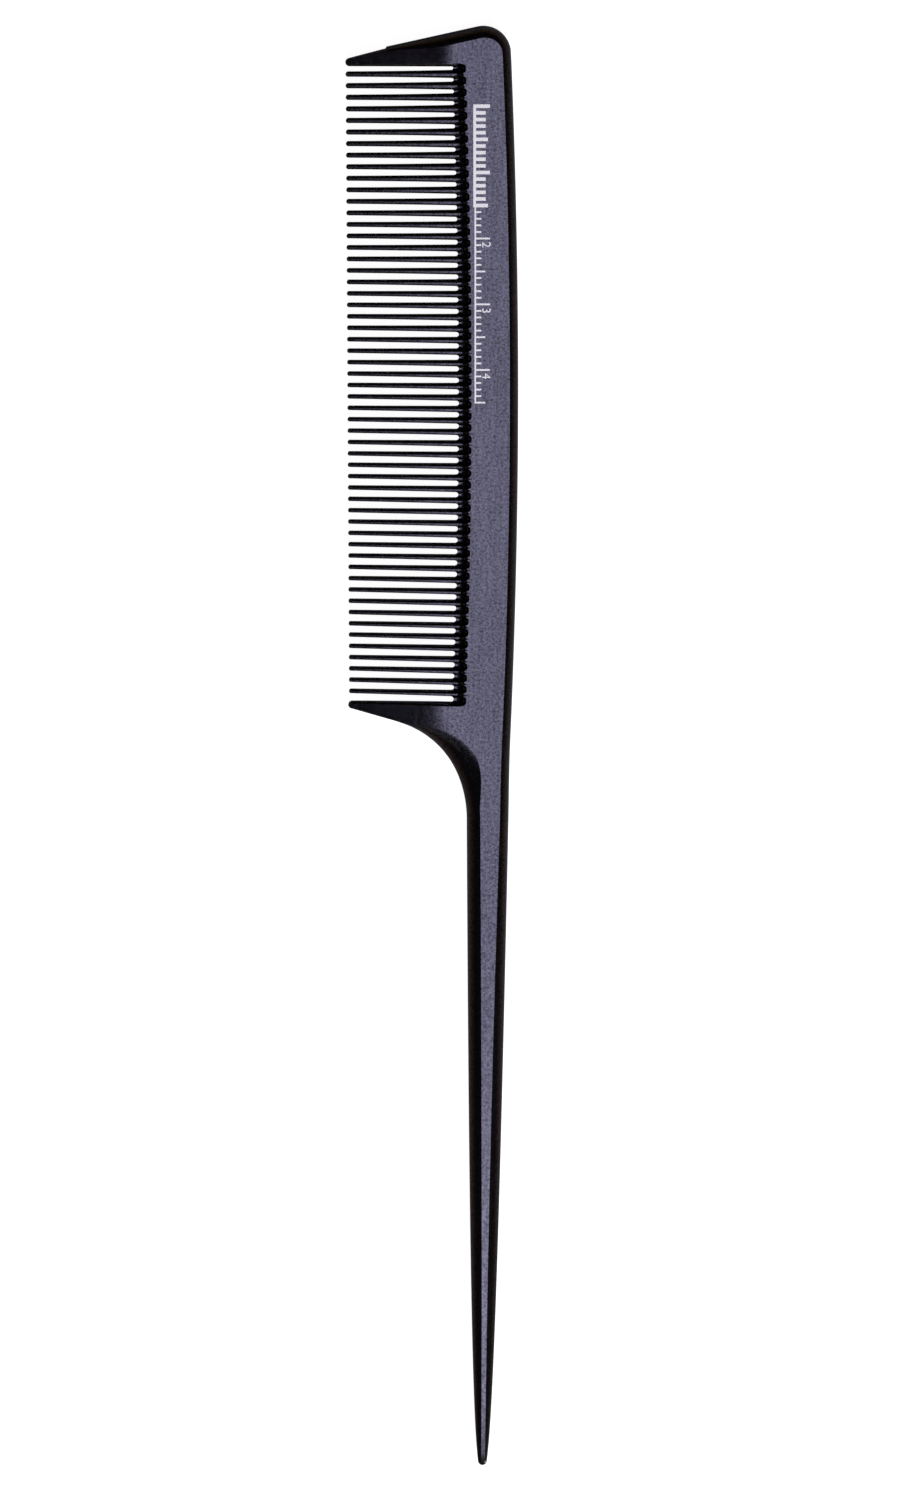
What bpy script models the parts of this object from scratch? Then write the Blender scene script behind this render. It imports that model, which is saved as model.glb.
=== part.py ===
"""Rat tail comb, lying flat: teeth towards -X, back towards +X, head at +Y, tail tip at -Y.

The comb is one moulding. Its members are modelled as separate solids, a small joint gap apart.
The origin is at the middle of the comb's box, on the surface that it lies on.
"""

import math

import bmesh
import bpy
from mathutils import Vector

MM = 0.001

# Whole comb
THICKNESS = 4.0 * MM
JOINT_GAP = 0.3 * MM
EDGE_MARGIN = 0.05 * MM  # an edge this close to a joint belongs to the joint
TAIL_TIP = -112.5 * MM

# Back: one long arc, bowed outwards, which runs into the tail at BACK_END
BACK_APEX = Vector((13.43, 42.6)) * MM
BACK_RADIUS = 1208.0 * MM
BACK_END = 3.0 * MM
BACK_ROUND = 1.3 * MM

# Head: a sloping top edge, a round corner, and a small notch in the outer edge of the guard
HEAD_EDGE_POINT = Vector((3.9, 111.7)) * MM
HEAD_EDGE_SLOPE = 0.2315
HEAD_CORNER_RADIUS = 4.2 * MM
NOTCH_X = -7.3 * MM
NOTCH_DEPTH = 0.25 * MM
GUARD_EDGE_SLOPE = 0.285

# Roots: the slots between the teeth end on this arc
ROOT_APEX = Vector((4.37, 42.3)) * MM
ROOT_RADIUS = 1377.0 * MM

# Teeth: parallel at the middle one, and closing up very slightly towards their tips
TOOTH_COUNT = 55
MIDDLE_TOOTH_Y = 57.69 * MM
TOOTH_PITCH = 1.7525 * MM
PITCH_GAIN = 0.000433  # metres of pitch for each metre towards the back
FAN_X = -4.9 * MM  # where the pitch is TOOTH_PITCH
TIP_LINE_X = -12.75 * MM  # tip of the middle tooth
TIP_LINE_SLOPE = -0.01325
TOOTH_TIP_WIDTH = 0.56 * MM
TOOTH_TIP_THICKNESS = 1.5 * MM
TOOTH_ROOT_WIDTH = 0.70 * MM
TOOTH_ROOT_EXTRA = 0.33 * MM  # more width at the head, fading by a square law
TAPER_X = 2.6 * MM  # from here the thickness falls towards the tips
TOOTH_SIDES = 12
TIP_ROUND = 0.24 * MM

# Guards: the thick teeth at both ends
HEAD_GUARD_TIP_X = -13.43 * MM
HEAD_GUARD_INNER_Y = 106.2 * MM  # its slot side, at FAN_X
HEAD_GUARD_END_RADIUS = 0.62 * MM
HEEL_GUARD_TIP_X = -12.25 * MM
HEEL_GUARD_INNER_Y = 8.82 * MM
HEEL_GUARD_END_RADIUS = 0.58 * MM
HEEL_LINE_SLOPE = -0.268
GUARD_FAN = 0.0121
GUARD_TIP_THICKNESS = 1.6 * MM
GUARD_ROUND = 0.35 * MM

# Shoulder: the curve from the heel guard's lower edge into the tail
HEEL_CURVE_START = Vector((-5.0, 5.92)) * MM
HEEL_CURVE_END = Vector((6.15, -9.6)) * MM
HEEL_START_HANDLE = 11.5 * MM
HEEL_END_HANDLE = 2.0 * MM
HEEL_START_SLOPE = -0.30
SPINE_END_Y = 8.0 * MM
SHOULDER_ROUND = 1.3 * MM

# Tail: width and thickness fall by a power of the distance from the tip
TAIL_TOP = -9.9 * MM
TAIL_AXIS_TOP_X = 9.42 * MM
TAIL_AXIS_TIP_X = 9.76 * MM
TAIL_WIDTH = 6.45 * MM
TAIL_POWER = 0.395
TAIL_BLUNT = 1.5 * MM
TAIL_CAP_RADIUS = 0.62 * MM
TAIL_THICKNESS_POWER = 0.33
TAIL_STEPS = 26
TAIL_STEP_POWER = 1.6  # closer steps towards the tip
TAIL_CAP_SHARES = (0.03, 0.3, 1.0)

MOULDING_COLOUR = (0.010, 0.010, 0.012, 1.0)
MOULDING_ROUGHNESS = 0.32


def clear_scene():
    for obj in list(bpy.data.objects):
        bpy.data.objects.remove(obj, do_unlink=True)


def moulding_material(name):
    """Each member has its own copy of the black resin."""
    material = bpy.data.materials.new(name + "_resin")
    material.use_nodes = True
    shader = material.node_tree.nodes["Principled BSDF"]
    shader.inputs["Base Color"].default_value = MOULDING_COLOUR
    shader.inputs["Roughness"].default_value = MOULDING_ROUGHNESS
    shader.inputs["Metallic"].default_value = 0.0
    return material


def add_member(collection, parent, name, mesh, smooth_angle=35.0):
    """Names the mesh's object, shades it smooth below the angle, and hangs it on the parent."""
    mesh.name = name
    mesh.materials.clear()
    mesh.materials.append(moulding_material(name))
    mesh.shade_smooth()
    mesh.set_sharp_from_angle(angle=math.radians(smooth_angle))
    obj = bpy.data.objects.new(name, mesh)
    collection.objects.link(obj)
    obj.parent = parent
    return obj


def curve_to_mesh(curve):
    """The welded mesh of a curve, whose caps are loose until then."""
    helper = bpy.data.objects.new("curve_helper", curve)
    bpy.context.scene.collection.objects.link(helper)
    graph = bpy.context.evaluated_depsgraph_get()
    mesh = bpy.data.meshes.new_from_object(helper.evaluated_get(graph))
    bpy.data.objects.remove(helper, do_unlink=True)
    bpy.data.curves.remove(curve)
    return mesh


def arc_point(apex, radius, y):
    """The point at height y on an arc bowed towards +X, whose outermost point is the apex."""
    rise = y - apex.y
    return Vector((apex.x - radius + math.sqrt(radius**2 - rise**2), y))


def back_point(y):
    return arc_point(BACK_APEX, BACK_RADIUS, y)


def root_point(y):
    return arc_point(ROOT_APEX, ROOT_RADIUS, y)


def spread(start, end, count):
    """Evenly spaced values from start to end, both included."""
    return [start + (end - start) * i / (count - 1) for i in range(count)]


def round_corner(centre, radius, start_degrees, end_degrees, count):
    """Points on a circle, from one direction to the other."""
    angles = [math.radians(a) for a in spread(start_degrees, end_degrees, count)]
    return [centre + radius * Vector((math.cos(a), math.sin(a))) for a in angles]


def slope_degrees(slope):
    return math.degrees(math.atan(slope))


def head_edge_y(x):
    """The head's top edge, which drops by the notch where the guard gets finer."""
    if x >= NOTCH_X:
        return HEAD_EDGE_POINT.y + HEAD_EDGE_SLOPE * (x - HEAD_EDGE_POINT.x)
    notch_y = head_edge_y(NOTCH_X) - NOTCH_DEPTH
    return notch_y + GUARD_EDGE_SLOPE * (x - NOTCH_X)


def head_corner():
    """The round corner, touching the top edge and the back's arc from inside."""
    edge_angle = math.atan(HEAD_EDGE_SLOPE)
    along = Vector((math.cos(edge_angle), math.sin(edge_angle)))
    inward = Vector((along.y, -along.x))
    start = HEAD_EDGE_POINT + inward * HEAD_CORNER_RADIUS
    back_centre = BACK_APEX - Vector((BACK_RADIUS, 0.0))
    offset = start - back_centre
    reach = BACK_RADIUS - HEAD_CORNER_RADIUS
    half = offset.dot(along)
    step = -half + math.sqrt(half**2 - offset.length_squared + reach**2)
    centre = start + along * step
    back_angle = math.degrees(math.atan2(*reversed(centre - back_centre)))
    edge_side = 90 + slope_degrees(HEAD_EDGE_SLOPE)
    return round_corner(centre, HEAD_CORNER_RADIUS, back_angle, edge_side, 9)


def heel_curve():
    """The hollow curve from the heel guard into the tail, as one Bezier arc."""
    lead = Vector((1.0, HEEL_START_SLOPE)).normalized()
    first = HEEL_CURVE_START + lead * HEEL_START_HANDLE
    last = HEEL_CURVE_END + Vector((0.0, HEEL_END_HANDLE))
    points = []
    for t in spread(0.0, 1.0, 25):
        u = 1.0 - t
        points.append(
            u**3 * HEEL_CURVE_START
            + 3 * u**2 * t * first
            + 3 * u * t**2 * last
            + t**3 * HEEL_CURVE_END
        )
    return points


def crossing(points, x):
    """Where a line of points that runs towards +X passes x."""
    for a, b in zip(points, points[1:]):
        if a.x <= x <= b.x:
            return a.lerp(b, (x - a.x) / (b.x - a.x))
    return points[-1]


def plate(outline):
    """A flat outline raised to the comb's thickness, with one face above and one below."""
    curve = bpy.data.curves.new("outline", "CURVE")
    curve.dimensions = "2D"
    curve.fill_mode = "BOTH"
    curve.extrude = THICKNESS / 2
    spline = curve.splines.new("POLY")
    spline.points.add(len(outline) - 1)
    for point, place in zip(spline.points, outline):
        point.co = (place.x, place.y, 0.0, 1.0)
    spline.use_cyclic_u = True
    mesh = curve_to_mesh(curve)
    bm = bmesh.new()
    bm.from_mesh(mesh)
    bmesh.ops.remove_doubles(bm, verts=bm.verts, dist=1e-6)
    for side in (1, -1):
        cap = [face for face in bm.faces if face.normal.z * side > 0.99]
        bmesh.ops.dissolve_faces(bm, faces=cap)
    bmesh.ops.recalc_face_normals(bm, faces=bm.faces)
    return mesh, bm


def finish_plate(mesh, bm):
    """Sets the plate on the surface that the comb lies on."""
    bmesh.ops.translate(bm, verts=bm.verts, vec=(0.0, 0.0, THICKNESS / 2))
    bm.to_mesh(mesh)
    bm.free()
    return mesh


def round_rim(bm, width, segments, is_outer):
    """Rounds the edges between the wall and the two faces, at the places that is_outer picks."""
    rim = []
    for edge in bm.edges:
        steep = sorted(abs(face.normal.z) for face in edge.link_faces)
        middle = (edge.verts[0].co + edge.verts[1].co) / 2
        if steep[0] < 0.3 and steep[-1] > 0.9 and is_outer(middle):
            rim.append(edge)
    bmesh.ops.bevel(bm, geom=rim, offset=width, segments=segments, profile=0.5, affect="EDGES")


def taper_guard(bm, tip_x):
    """Thins the guard in a straight line from TAPER_X to its tip."""
    everything = bm.verts[:] + bm.edges[:] + bm.faces[:]
    bmesh.ops.bisect_plane(bm, geom=everything, plane_co=(TAPER_X, 0, 0), plane_no=(1, 0, 0))
    lost = 1.0 - GUARD_TIP_THICKNESS / THICKNESS
    for vert in bm.verts:
        if vert.co.x < TAPER_X:
            vert.co.z *= 1.0 - lost * (TAPER_X - vert.co.x) / (TAPER_X - tip_x)


def spine_mesh():
    back = [back_point(y) for y in spread(SPINE_END_Y, head_corner()[0].y, 22)[:-1]]
    top_left = root_point(HEAD_EDGE_POINT.y)
    top_left.y = head_edge_y(top_left.x)
    roots = [root_point(y) for y in spread(top_left.y, SPINE_END_Y, 18)[1:]]
    mesh, bm = plate(back + head_corner() + [top_left] + roots)

    def is_outer(point):
        clear_of_roots = point.x > root_point(point.y).x + EDGE_MARGIN
        return clear_of_roots and point.y > SPINE_END_Y + EDGE_MARGIN

    round_rim(bm, BACK_ROUND, 3, is_outer)
    return finish_plate(mesh, bm)


def shoulder_mesh():
    top = SPINE_END_Y - JOINT_GAP
    left = root_point(top)
    curve = heel_curve()
    joint = crossing(curve, left.x)
    inner = [joint] + [point for point in curve if point.x > left.x]
    tail_right = TAIL_AXIS_TOP_X + TAIL_WIDTH / 2
    outer = [Vector((tail_right, HEEL_CURVE_END.y))]
    outer += [back_point(y) for y in spread(BACK_END, top, 3)]
    mesh, bm = plate([left] + inner + outer)

    def is_outer(point):
        inside = HEEL_CURVE_END.y + EDGE_MARGIN < point.y < top - EDGE_MARGIN
        return inside and point.x > left.x + EDGE_MARGIN

    round_rim(bm, SHOULDER_ROUND, 3, is_outer)
    return finish_plate(mesh, bm)


def head_guard_mesh():
    radius = HEAD_GUARD_END_RADIUS
    inner_joint_x = root_point(HEAD_GUARD_INNER_Y).x - JOINT_GAP
    outer_joint_x = root_point(HEAD_EDGE_POINT.y).x - JOINT_GAP

    def inner_y(x):
        return HEAD_GUARD_INNER_Y + GUARD_FAN * (x - FAN_X)

    end_x = HEAD_GUARD_TIP_X + radius
    end_centre = Vector((end_x, inner_y(end_x) + radius))
    outline = [
        Vector((inner_joint_x, inner_y(inner_joint_x))),
        Vector((outer_joint_x, head_edge_y(outer_joint_x))),
        Vector((NOTCH_X + NOTCH_DEPTH, head_edge_y(NOTCH_X + NOTCH_DEPTH))),
        Vector((NOTCH_X - NOTCH_DEPTH, head_edge_y(NOTCH_X - NOTCH_DEPTH))),
    ]
    outline += round_corner(end_centre, radius, 90 + slope_degrees(GUARD_EDGE_SLOPE), 270, 7)
    mesh, bm = plate(outline)
    taper_guard(bm, HEAD_GUARD_TIP_X)
    round_rim(bm, GUARD_ROUND, 2, lambda point: point.x < outer_joint_x - EDGE_MARGIN)
    return finish_plate(mesh, bm)


def heel_guard_mesh():
    radius = HEEL_GUARD_END_RADIUS
    joint_x = root_point(HEEL_GUARD_INNER_Y).x - JOINT_GAP

    def inner_y(x):
        return HEEL_GUARD_INNER_Y - GUARD_FAN * (x - FAN_X)

    end_x = HEEL_GUARD_TIP_X + radius
    end_centre = Vector((end_x, inner_y(end_x) - radius))
    curve = heel_curve()
    outline = [Vector((joint_x, inner_y(joint_x)))]
    outline += round_corner(end_centre, radius, 90, 270 + slope_degrees(HEEL_LINE_SLOPE), 7)
    outline += [point for point in curve if point.x < joint_x]
    outline.append(crossing(curve, joint_x))
    mesh, bm = plate(outline)
    taper_guard(bm, HEEL_GUARD_TIP_X)
    round_rim(bm, GUARD_ROUND, 2, lambda point: point.x < joint_x - EDGE_MARGIN)
    return finish_plate(mesh, bm)


def tail_width(reach):
    """Width at a distance from the tip: a power law from a blunt end, closed by a round cap."""
    full = HEEL_CURVE_END.y - TAIL_TIP + TAIL_BLUNT
    width = TAIL_WIDTH * ((reach + TAIL_BLUNT) / full) ** TAIL_POWER
    if reach < TAIL_CAP_RADIUS:
        width *= math.sqrt(1.0 - (1.0 - reach / TAIL_CAP_RADIUS) ** 2)
    return width


def tail_thickness(reach):
    """Thickness at a distance from the tip: flat like the spine at the top, round at the tip."""
    full = HEEL_CURVE_END.y - TAIL_TIP
    return min(THICKNESS * (reach / full) ** TAIL_THICKNESS_POWER, tail_width(reach))


def tail_mesh():
    """A tapering round bar, its thickness then brought down to the comb's."""
    length = TAIL_TOP - TAIL_TIP
    cap = [TAIL_CAP_RADIUS * share for share in TAIL_CAP_SHARES]
    steps = [length * (i / TAIL_STEPS) ** TAIL_STEP_POWER for i in range(TAIL_STEPS + 1)]
    reaches = cap + [step for step in steps if step > 2 * TAIL_CAP_RADIUS]
    curve = bpy.data.curves.new("tail_line", "CURVE")
    curve.dimensions = "3D"
    curve.bevel_depth = 1.0
    curve.bevel_resolution = 6
    curve.use_fill_caps = True
    spline = curve.splines.new("POLY")
    spline.points.add(len(reaches) - 1)
    for point, reach in zip(spline.points, reaches):
        x = TAIL_AXIS_TIP_X + (TAIL_AXIS_TOP_X - TAIL_AXIS_TIP_X) * reach / length
        point.co = (x, TAIL_TIP + reach, 0.0, 1.0)
        point.radius = tail_width(reach) / 2
    mesh = curve_to_mesh(curve)
    bm = bmesh.new()
    bm.from_mesh(mesh)
    bmesh.ops.remove_doubles(bm, verts=bm.verts, dist=1e-7)
    bmesh.ops.recalc_face_normals(bm, faces=bm.faces)
    for vert in bm.verts:
        reach = max(vert.co.y - TAIL_TIP, cap[0])
        vert.co.z *= tail_thickness(reach) / tail_width(reach)
    return finish_plate(mesh, bm)


def tooth_root_width(number):
    """Root width of a tooth: the nearer the head, the wider."""
    share = (TOOTH_COUNT - number) / (TOOTH_COUNT - 1)
    return TOOTH_ROOT_WIDTH + TOOTH_ROOT_EXTRA * share**2


def tooth_line(number, x):
    """Height of a tooth's middle line at x."""
    places = (TOOTH_COUNT + 1) / 2 - number
    return MIDDLE_TOOTH_Y + places * (TOOTH_PITCH + PITCH_GAIN * (x - FAN_X))


def tooth_mesh(number):
    """An oval bar: even in thickness near the root, tapering from TAPER_X to a rounded tip."""
    middle_y = tooth_line(number, FAN_X)
    tip_x = TIP_LINE_X + TIP_LINE_SLOPE * (middle_y - MIDDLE_TOOTH_Y)
    root_x = root_point(middle_y).x - JOINT_GAP
    width = tooth_root_width(number)
    share = (TAPER_X - tip_x) / (root_x - tip_x)
    width_at_taper = TOOTH_TIP_WIDTH + (width - TOOTH_TIP_WIDTH) * share**2

    bm = bmesh.new()
    bmesh.ops.create_cone(
        bm, cap_ends=True, segments=TOOTH_SIDES, radius1=0.5, radius2=0.5, depth=TAPER_X - tip_x
    )
    root_face = max(bm.faces, key=lambda face: face.calc_center_median().z)
    tip_face = min(bm.faces, key=lambda face: face.calc_center_median().z)
    tip_ring = list(tip_face.edges)
    for vert in bm.verts:
        at_root = vert.co.z > 0
        vert.co.x *= THICKNESS if at_root else TOOTH_TIP_THICKNESS
        vert.co.y *= width_at_taper if at_root else TOOTH_TIP_WIDTH
    grown = bmesh.ops.extrude_face_region(bm, geom=[root_face])
    bmesh.ops.delete(bm, geom=[root_face], context="FACES_ONLY")
    stub = [item for item in grown["geom"] if isinstance(item, bmesh.types.BMVert)]
    bmesh.ops.translate(bm, verts=stub, vec=(0.0, 0.0, root_x - TAPER_X))
    for vert in stub:
        vert.co.y *= width / width_at_taper
    bmesh.ops.bevel(
        bm, geom=tip_ring, offset=TIP_ROUND, segments=2, profile=0.5, affect="EDGES"
    )

    # The bar stands on Z so far: Z becomes the tooth's length, and X its thickness.
    for vert in bm.verts:
        along = vert.co.z + (TAPER_X + tip_x) / 2
        vert.co = (along, tooth_line(number, along) + vert.co.y, THICKNESS / 2 - vert.co.x)
    bmesh.ops.recalc_face_normals(bm, faces=bm.faces)
    mesh = bpy.data.meshes.new("tooth")
    bm.to_mesh(mesh)
    bm.free()
    return mesh


def main():
    clear_scene()
    collection = bpy.data.collections.new("rat_tail_comb")
    bpy.context.scene.collection.children.link(collection)
    comb = bpy.data.objects.new("comb", None)
    collection.objects.link(comb)

    add_member(collection, comb, "spine", spine_mesh())
    add_member(collection, comb, "shoulder", shoulder_mesh())
    add_member(collection, comb, "tail", tail_mesh())
    add_member(collection, comb, "head_guard", head_guard_mesh())
    add_member(collection, comb, "heel_guard", heel_guard_mesh())
    for number in range(1, TOOTH_COUNT + 1):
        add_member(collection, comb, f"tooth_{number:02d}", tooth_mesh(number), 50.0)


main()
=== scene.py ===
import bmesh
import bpy
import numpy as np
from mathutils import Matrix, Vector


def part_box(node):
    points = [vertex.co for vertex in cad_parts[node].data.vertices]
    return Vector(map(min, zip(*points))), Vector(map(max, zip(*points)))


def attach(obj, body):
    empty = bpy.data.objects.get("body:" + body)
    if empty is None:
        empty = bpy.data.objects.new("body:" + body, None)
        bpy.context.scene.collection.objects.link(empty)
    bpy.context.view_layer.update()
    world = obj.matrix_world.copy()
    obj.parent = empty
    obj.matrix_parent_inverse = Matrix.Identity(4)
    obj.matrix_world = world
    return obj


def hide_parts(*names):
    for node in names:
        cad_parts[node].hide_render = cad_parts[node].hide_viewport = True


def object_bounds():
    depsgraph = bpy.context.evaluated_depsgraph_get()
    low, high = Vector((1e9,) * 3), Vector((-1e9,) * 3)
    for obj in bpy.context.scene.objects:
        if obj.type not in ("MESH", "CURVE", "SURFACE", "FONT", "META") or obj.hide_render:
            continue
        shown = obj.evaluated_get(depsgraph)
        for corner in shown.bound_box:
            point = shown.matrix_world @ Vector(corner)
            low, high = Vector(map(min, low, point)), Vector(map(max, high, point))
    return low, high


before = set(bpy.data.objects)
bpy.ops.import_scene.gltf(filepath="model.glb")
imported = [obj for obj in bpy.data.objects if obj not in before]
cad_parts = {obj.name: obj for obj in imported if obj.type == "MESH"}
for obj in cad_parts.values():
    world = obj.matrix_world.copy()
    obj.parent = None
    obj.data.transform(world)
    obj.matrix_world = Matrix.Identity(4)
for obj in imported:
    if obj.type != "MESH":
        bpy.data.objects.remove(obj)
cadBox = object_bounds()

# Lengths below are in millimetres, and a mesh is brought to metres when it is made.
mm = 0.001
cadLow, cadHigh = (np.array(corner) / mm for corner in cadBox)
midZ = (cadLow[2] + cadHigh[2]) / 2
halfThick = (cadHigh[2] - cadLow[2]) / 2
land, rounded, cap = 0, 1, 2  # kinds of face


def boxOf(node):
    low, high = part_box(node)
    return np.array(low) / mm, np.array(high) / mm


# ---- helpers for curves and surfaces ----

def softStep(start, end, value):
    # 3t^2 - 2t^3, where t runs from 0 at start to 1 at end
    t = np.clip((value - start) / (end - start), 0.0, 1.0)
    return t * t * (3.0 - 2.0 * t)


def mix(a, b, share):
    return a + (b - a) * share


def stack(x, y, z=0.0):
    return np.stack(np.broadcast_arrays(x, y, z), axis=-1).astype(float)


def unit(vectors):
    return vectors / np.linalg.norm(vectors, axis=-1, keepdims=True)


teeth = dict(
    pitch=1.7525, pitchGain=0.000433, fanX=-4.9,  # the gain is pitch for each mm towards the back
    tipWidth=0.58, rootWidth=0.70,
    tipExtra=0.20, rootExtra=0.45,  # added at the head, and fading towards the heel by a square law
    crestTip=0.09, crestRoot=0.10,  # half width of the flat along the top of a tooth
    jointGap=0.3, sideSteps=24, sidePower=0.9, tipSteps=8,
)
toothNames = sorted(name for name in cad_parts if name.startswith("tooth_"))
toothBoxes = np.array([np.concatenate(boxOf(name)) for name in toothNames])
toothCount = len(toothNames)
toothTipX = toothBoxes[:, 0]
middleTooth = toothCount // 2
middleY = (toothBoxes[middleTooth, 1] + toothBoxes[middleTooth, 4]) / 2
rootFit = np.polyfit((toothBoxes[:, 1] + toothBoxes[:, 4]) / 2, toothBoxes[:, 3] + teeth["jointGap"], 2)
headShare = (1.0 - np.arange(toothCount) / (toothCount - 1)) ** 2
rootWidths = teeth["rootWidth"] + teeth["rootExtra"] * headShare
tipWidths = teeth["tipWidth"] + teeth["tipExtra"] * headShare


def rootX(y):
    # the slots end on this parabola
    return np.polyval(rootFit, y)


# The flat face's fall towards the guards' tips: none over the spine, a straight slope past the fold, and
# between them (d + soft)^2 / (4 soft), where d is the distance past the fold.
fall = dict(slope=0.078, headY=108.0, heelY=8.0, foldHead=2.1, foldHeel=1.5, softHead=1.3, softHeel=2.4)
# The teeth lie lower: their crests step down just left of the slot ends, then sink by slope L + bend L^2.
sink = dict(
    step=0.45, stepFrom=1.45, stepTo=0.80, slope=0.018, bend=0.00085,
    headY=105.8, heelY=9.4, blend=0.4,
)


def faceHeight(x, y):
    share = np.clip((y - fall["heelY"]) / (fall["headY"] - fall["heelY"]), 0.0, 1.0)
    past = mix(fall["foldHeel"], fall["foldHead"], share) - x
    soft = mix(fall["softHeel"], fall["softHead"], share)
    ramp = np.where(past > soft, past, np.where(past < -soft, 0.0, (past + soft) ** 2 / (4.0 * soft)))
    ahead = x - rootX(y)
    along = np.maximum(sink["stepTo"] - ahead, 0.0)
    step = sink["step"] * softStep(sink["stepFrom"], sink["stepTo"], ahead)
    toothFall = step + sink["slope"] * along + sink["bend"] * along**2
    blend = sink["blend"]
    amongTeeth = softStep(sink["headY"] + blend, sink["headY"] - blend, y)
    amongTeeth = amongTeeth * softStep(sink["heelY"] - blend, sink["heelY"] + blend, y)
    return halfThick - mix(fall["slope"] * ramp, toothFall, amongTeeth)


# Angles round a quarter ellipse, from the flat face's edge down to the comb's mid-plane.
profileAngles = np.radians([0.0, 2.0, 6.0, 14.0, 25.0, 38.0, 52.0, 65.0, 76.0, 84.0, 90.0])[::-1]


def edgeProfile(width, height, crease):
    # A quarter ellipse, cut where it meets the face at the crease angle: inset is how far a point lies inside
    # the outline, rise its height. sin(cut) = q / (1 - q), with q = tan(crease) width / height.
    q = np.tan(crease) * width / height
    cut = np.arcsin(np.clip(q / (1.0 - q), 0.0, 0.7))[..., None]
    angle = cut + (np.pi / 2 - cut) * profileAngles / (np.pi / 2)
    inset = width[..., None] * (1.0 - np.sin(angle)) / (1.0 - np.sin(cut))
    rise = np.cos(angle) / np.cos(cut)
    rise[..., 0] = 0.0
    return inset, rise


# A tooth's flank stands upright up to the shoulder height below the face, and rounds over above it.
flankAngles = np.radians([90.0, 90, 78, 66, 54, 43, 33, 24, 16, 9, 4, 0])
flankInset = 1.0 - np.sin(flankAngles)  # 0 at the wall, 1 at the crest
flankRound = dict(height=0.65)


def flankRise(height):
    # height above mid-plane: 0 at the foot, then the top of the wall, then a quarter ellipse up to the face
    shoulder = np.minimum(flankRound["height"], height)[..., None]
    rise = height[..., None] - shoulder * (1.0 - np.cos(flankAngles))
    rise[..., 0] = 0.0
    return rise


def flankBand(path, inward, width):
    # The flank carried along a path, from its foot at mid-height to the crest's edge.
    width = np.broadcast_to(np.asarray(width, float), path.shape[:1])
    flat = path[:, None, :] + inward[:, None, :] * (width[:, None] * flankInset)[..., None]
    top = faceHeight(flat[:, -1, 0], flat[:, -1, 1])
    return stack(flat[..., 0], flat[..., 1], flankRise(top))


def edgeBand(path, inward, width, crease=0.0, height=None):
    # The edge profile carried along a path: row by row from the outline at mid-height to the face's edge.
    width = np.broadcast_to(np.asarray(width, float), path.shape[:1])
    crease = np.broadcast_to(np.asarray(crease, float), path.shape[:1])
    inner = path + inward * width[:, None]
    top = faceHeight(inner[:, 0], inner[:, 1]) if height is None else height
    inset, rise = edgeProfile(width, top, crease)
    flat = path[:, None, :] + inward[:, None, :] * inset[..., None]
    full = faceHeight(flat[..., 0], flat[..., 1]) if height is None else height[:, None]
    return stack(flat[..., 0], flat[..., 1], rise * full)


def onFace(points):
    return stack(points[..., 0], points[..., 1], faceHeight(points[..., 0], points[..., 1]))


def leftNormals(path):
    # Unit normals on the left of the direction of travel.
    along = unit(np.gradient(path, axis=0))
    return np.stack([-along[:, 1], along[:, 0]], axis=-1)


class Shell:
    # Gathers the sheets of a piece's upper half, mirrors them to the lower half, and makes one closed mesh.
    def __init__(self):
        self.points = []
        self.quads = []
        self.kinds = []
        self.count = 0

    def sheet(self, grid, kind):
        rows, columns = grid.shape[:2]
        number = self.count + np.arange(rows * columns).reshape(rows, columns)
        corners = (number[:-1, :-1], number[1:, :-1], number[1:, 1:], number[:-1, 1:])
        quads = np.stack(corners, axis=-1).reshape(-1, 4)
        self.points.append(grid.reshape(-1, 3))
        self.quads.append(quads)
        self.kinds.append(np.full(len(quads), kind))
        self.count += rows * columns

    def halves(self, grid, kind):
        self.sheet(grid, kind)
        self.sheet(grid * (1.0, 1.0, -1.0), kind)

    def curtain(self, curve):
        # closes the piece between a curve on its upper half and the same curve on its lower half
        self.sheet(np.stack([curve, curve * (1.0, 1.0, -1.0)]), cap)

    def make(self, name):
        points = (np.concatenate(self.points) + (0.0, 0.0, midZ)) * mm
        mesh = bpy.data.meshes.new(name)
        mesh.from_pydata(points, [], np.concatenate(self.quads))
        kinds = mesh.attributes.new("kind", "INT", "FACE")
        kinds.data.foreach_set("value", np.concatenate(self.kinds).astype(np.int32))
        welded = bmesh.new()
        welded.from_mesh(mesh)
        bmesh.ops.remove_doubles(welded, verts=welded.verts, dist=1e-6)
        bmesh.ops.recalc_face_normals(welded, faces=welded.faces)
        openEdges = sum(len(edge.link_faces) != 2 for edge in welded.edges)
        welded.to_mesh(mesh)
        welded.free()
        markCreases(mesh)
        piece = bpy.data.objects.new(name, mesh)
        bpy.context.scene.collection.objects.link(piece)
        if openEdges:
            print("open edges:", name, openEdges)
        return piece


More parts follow.
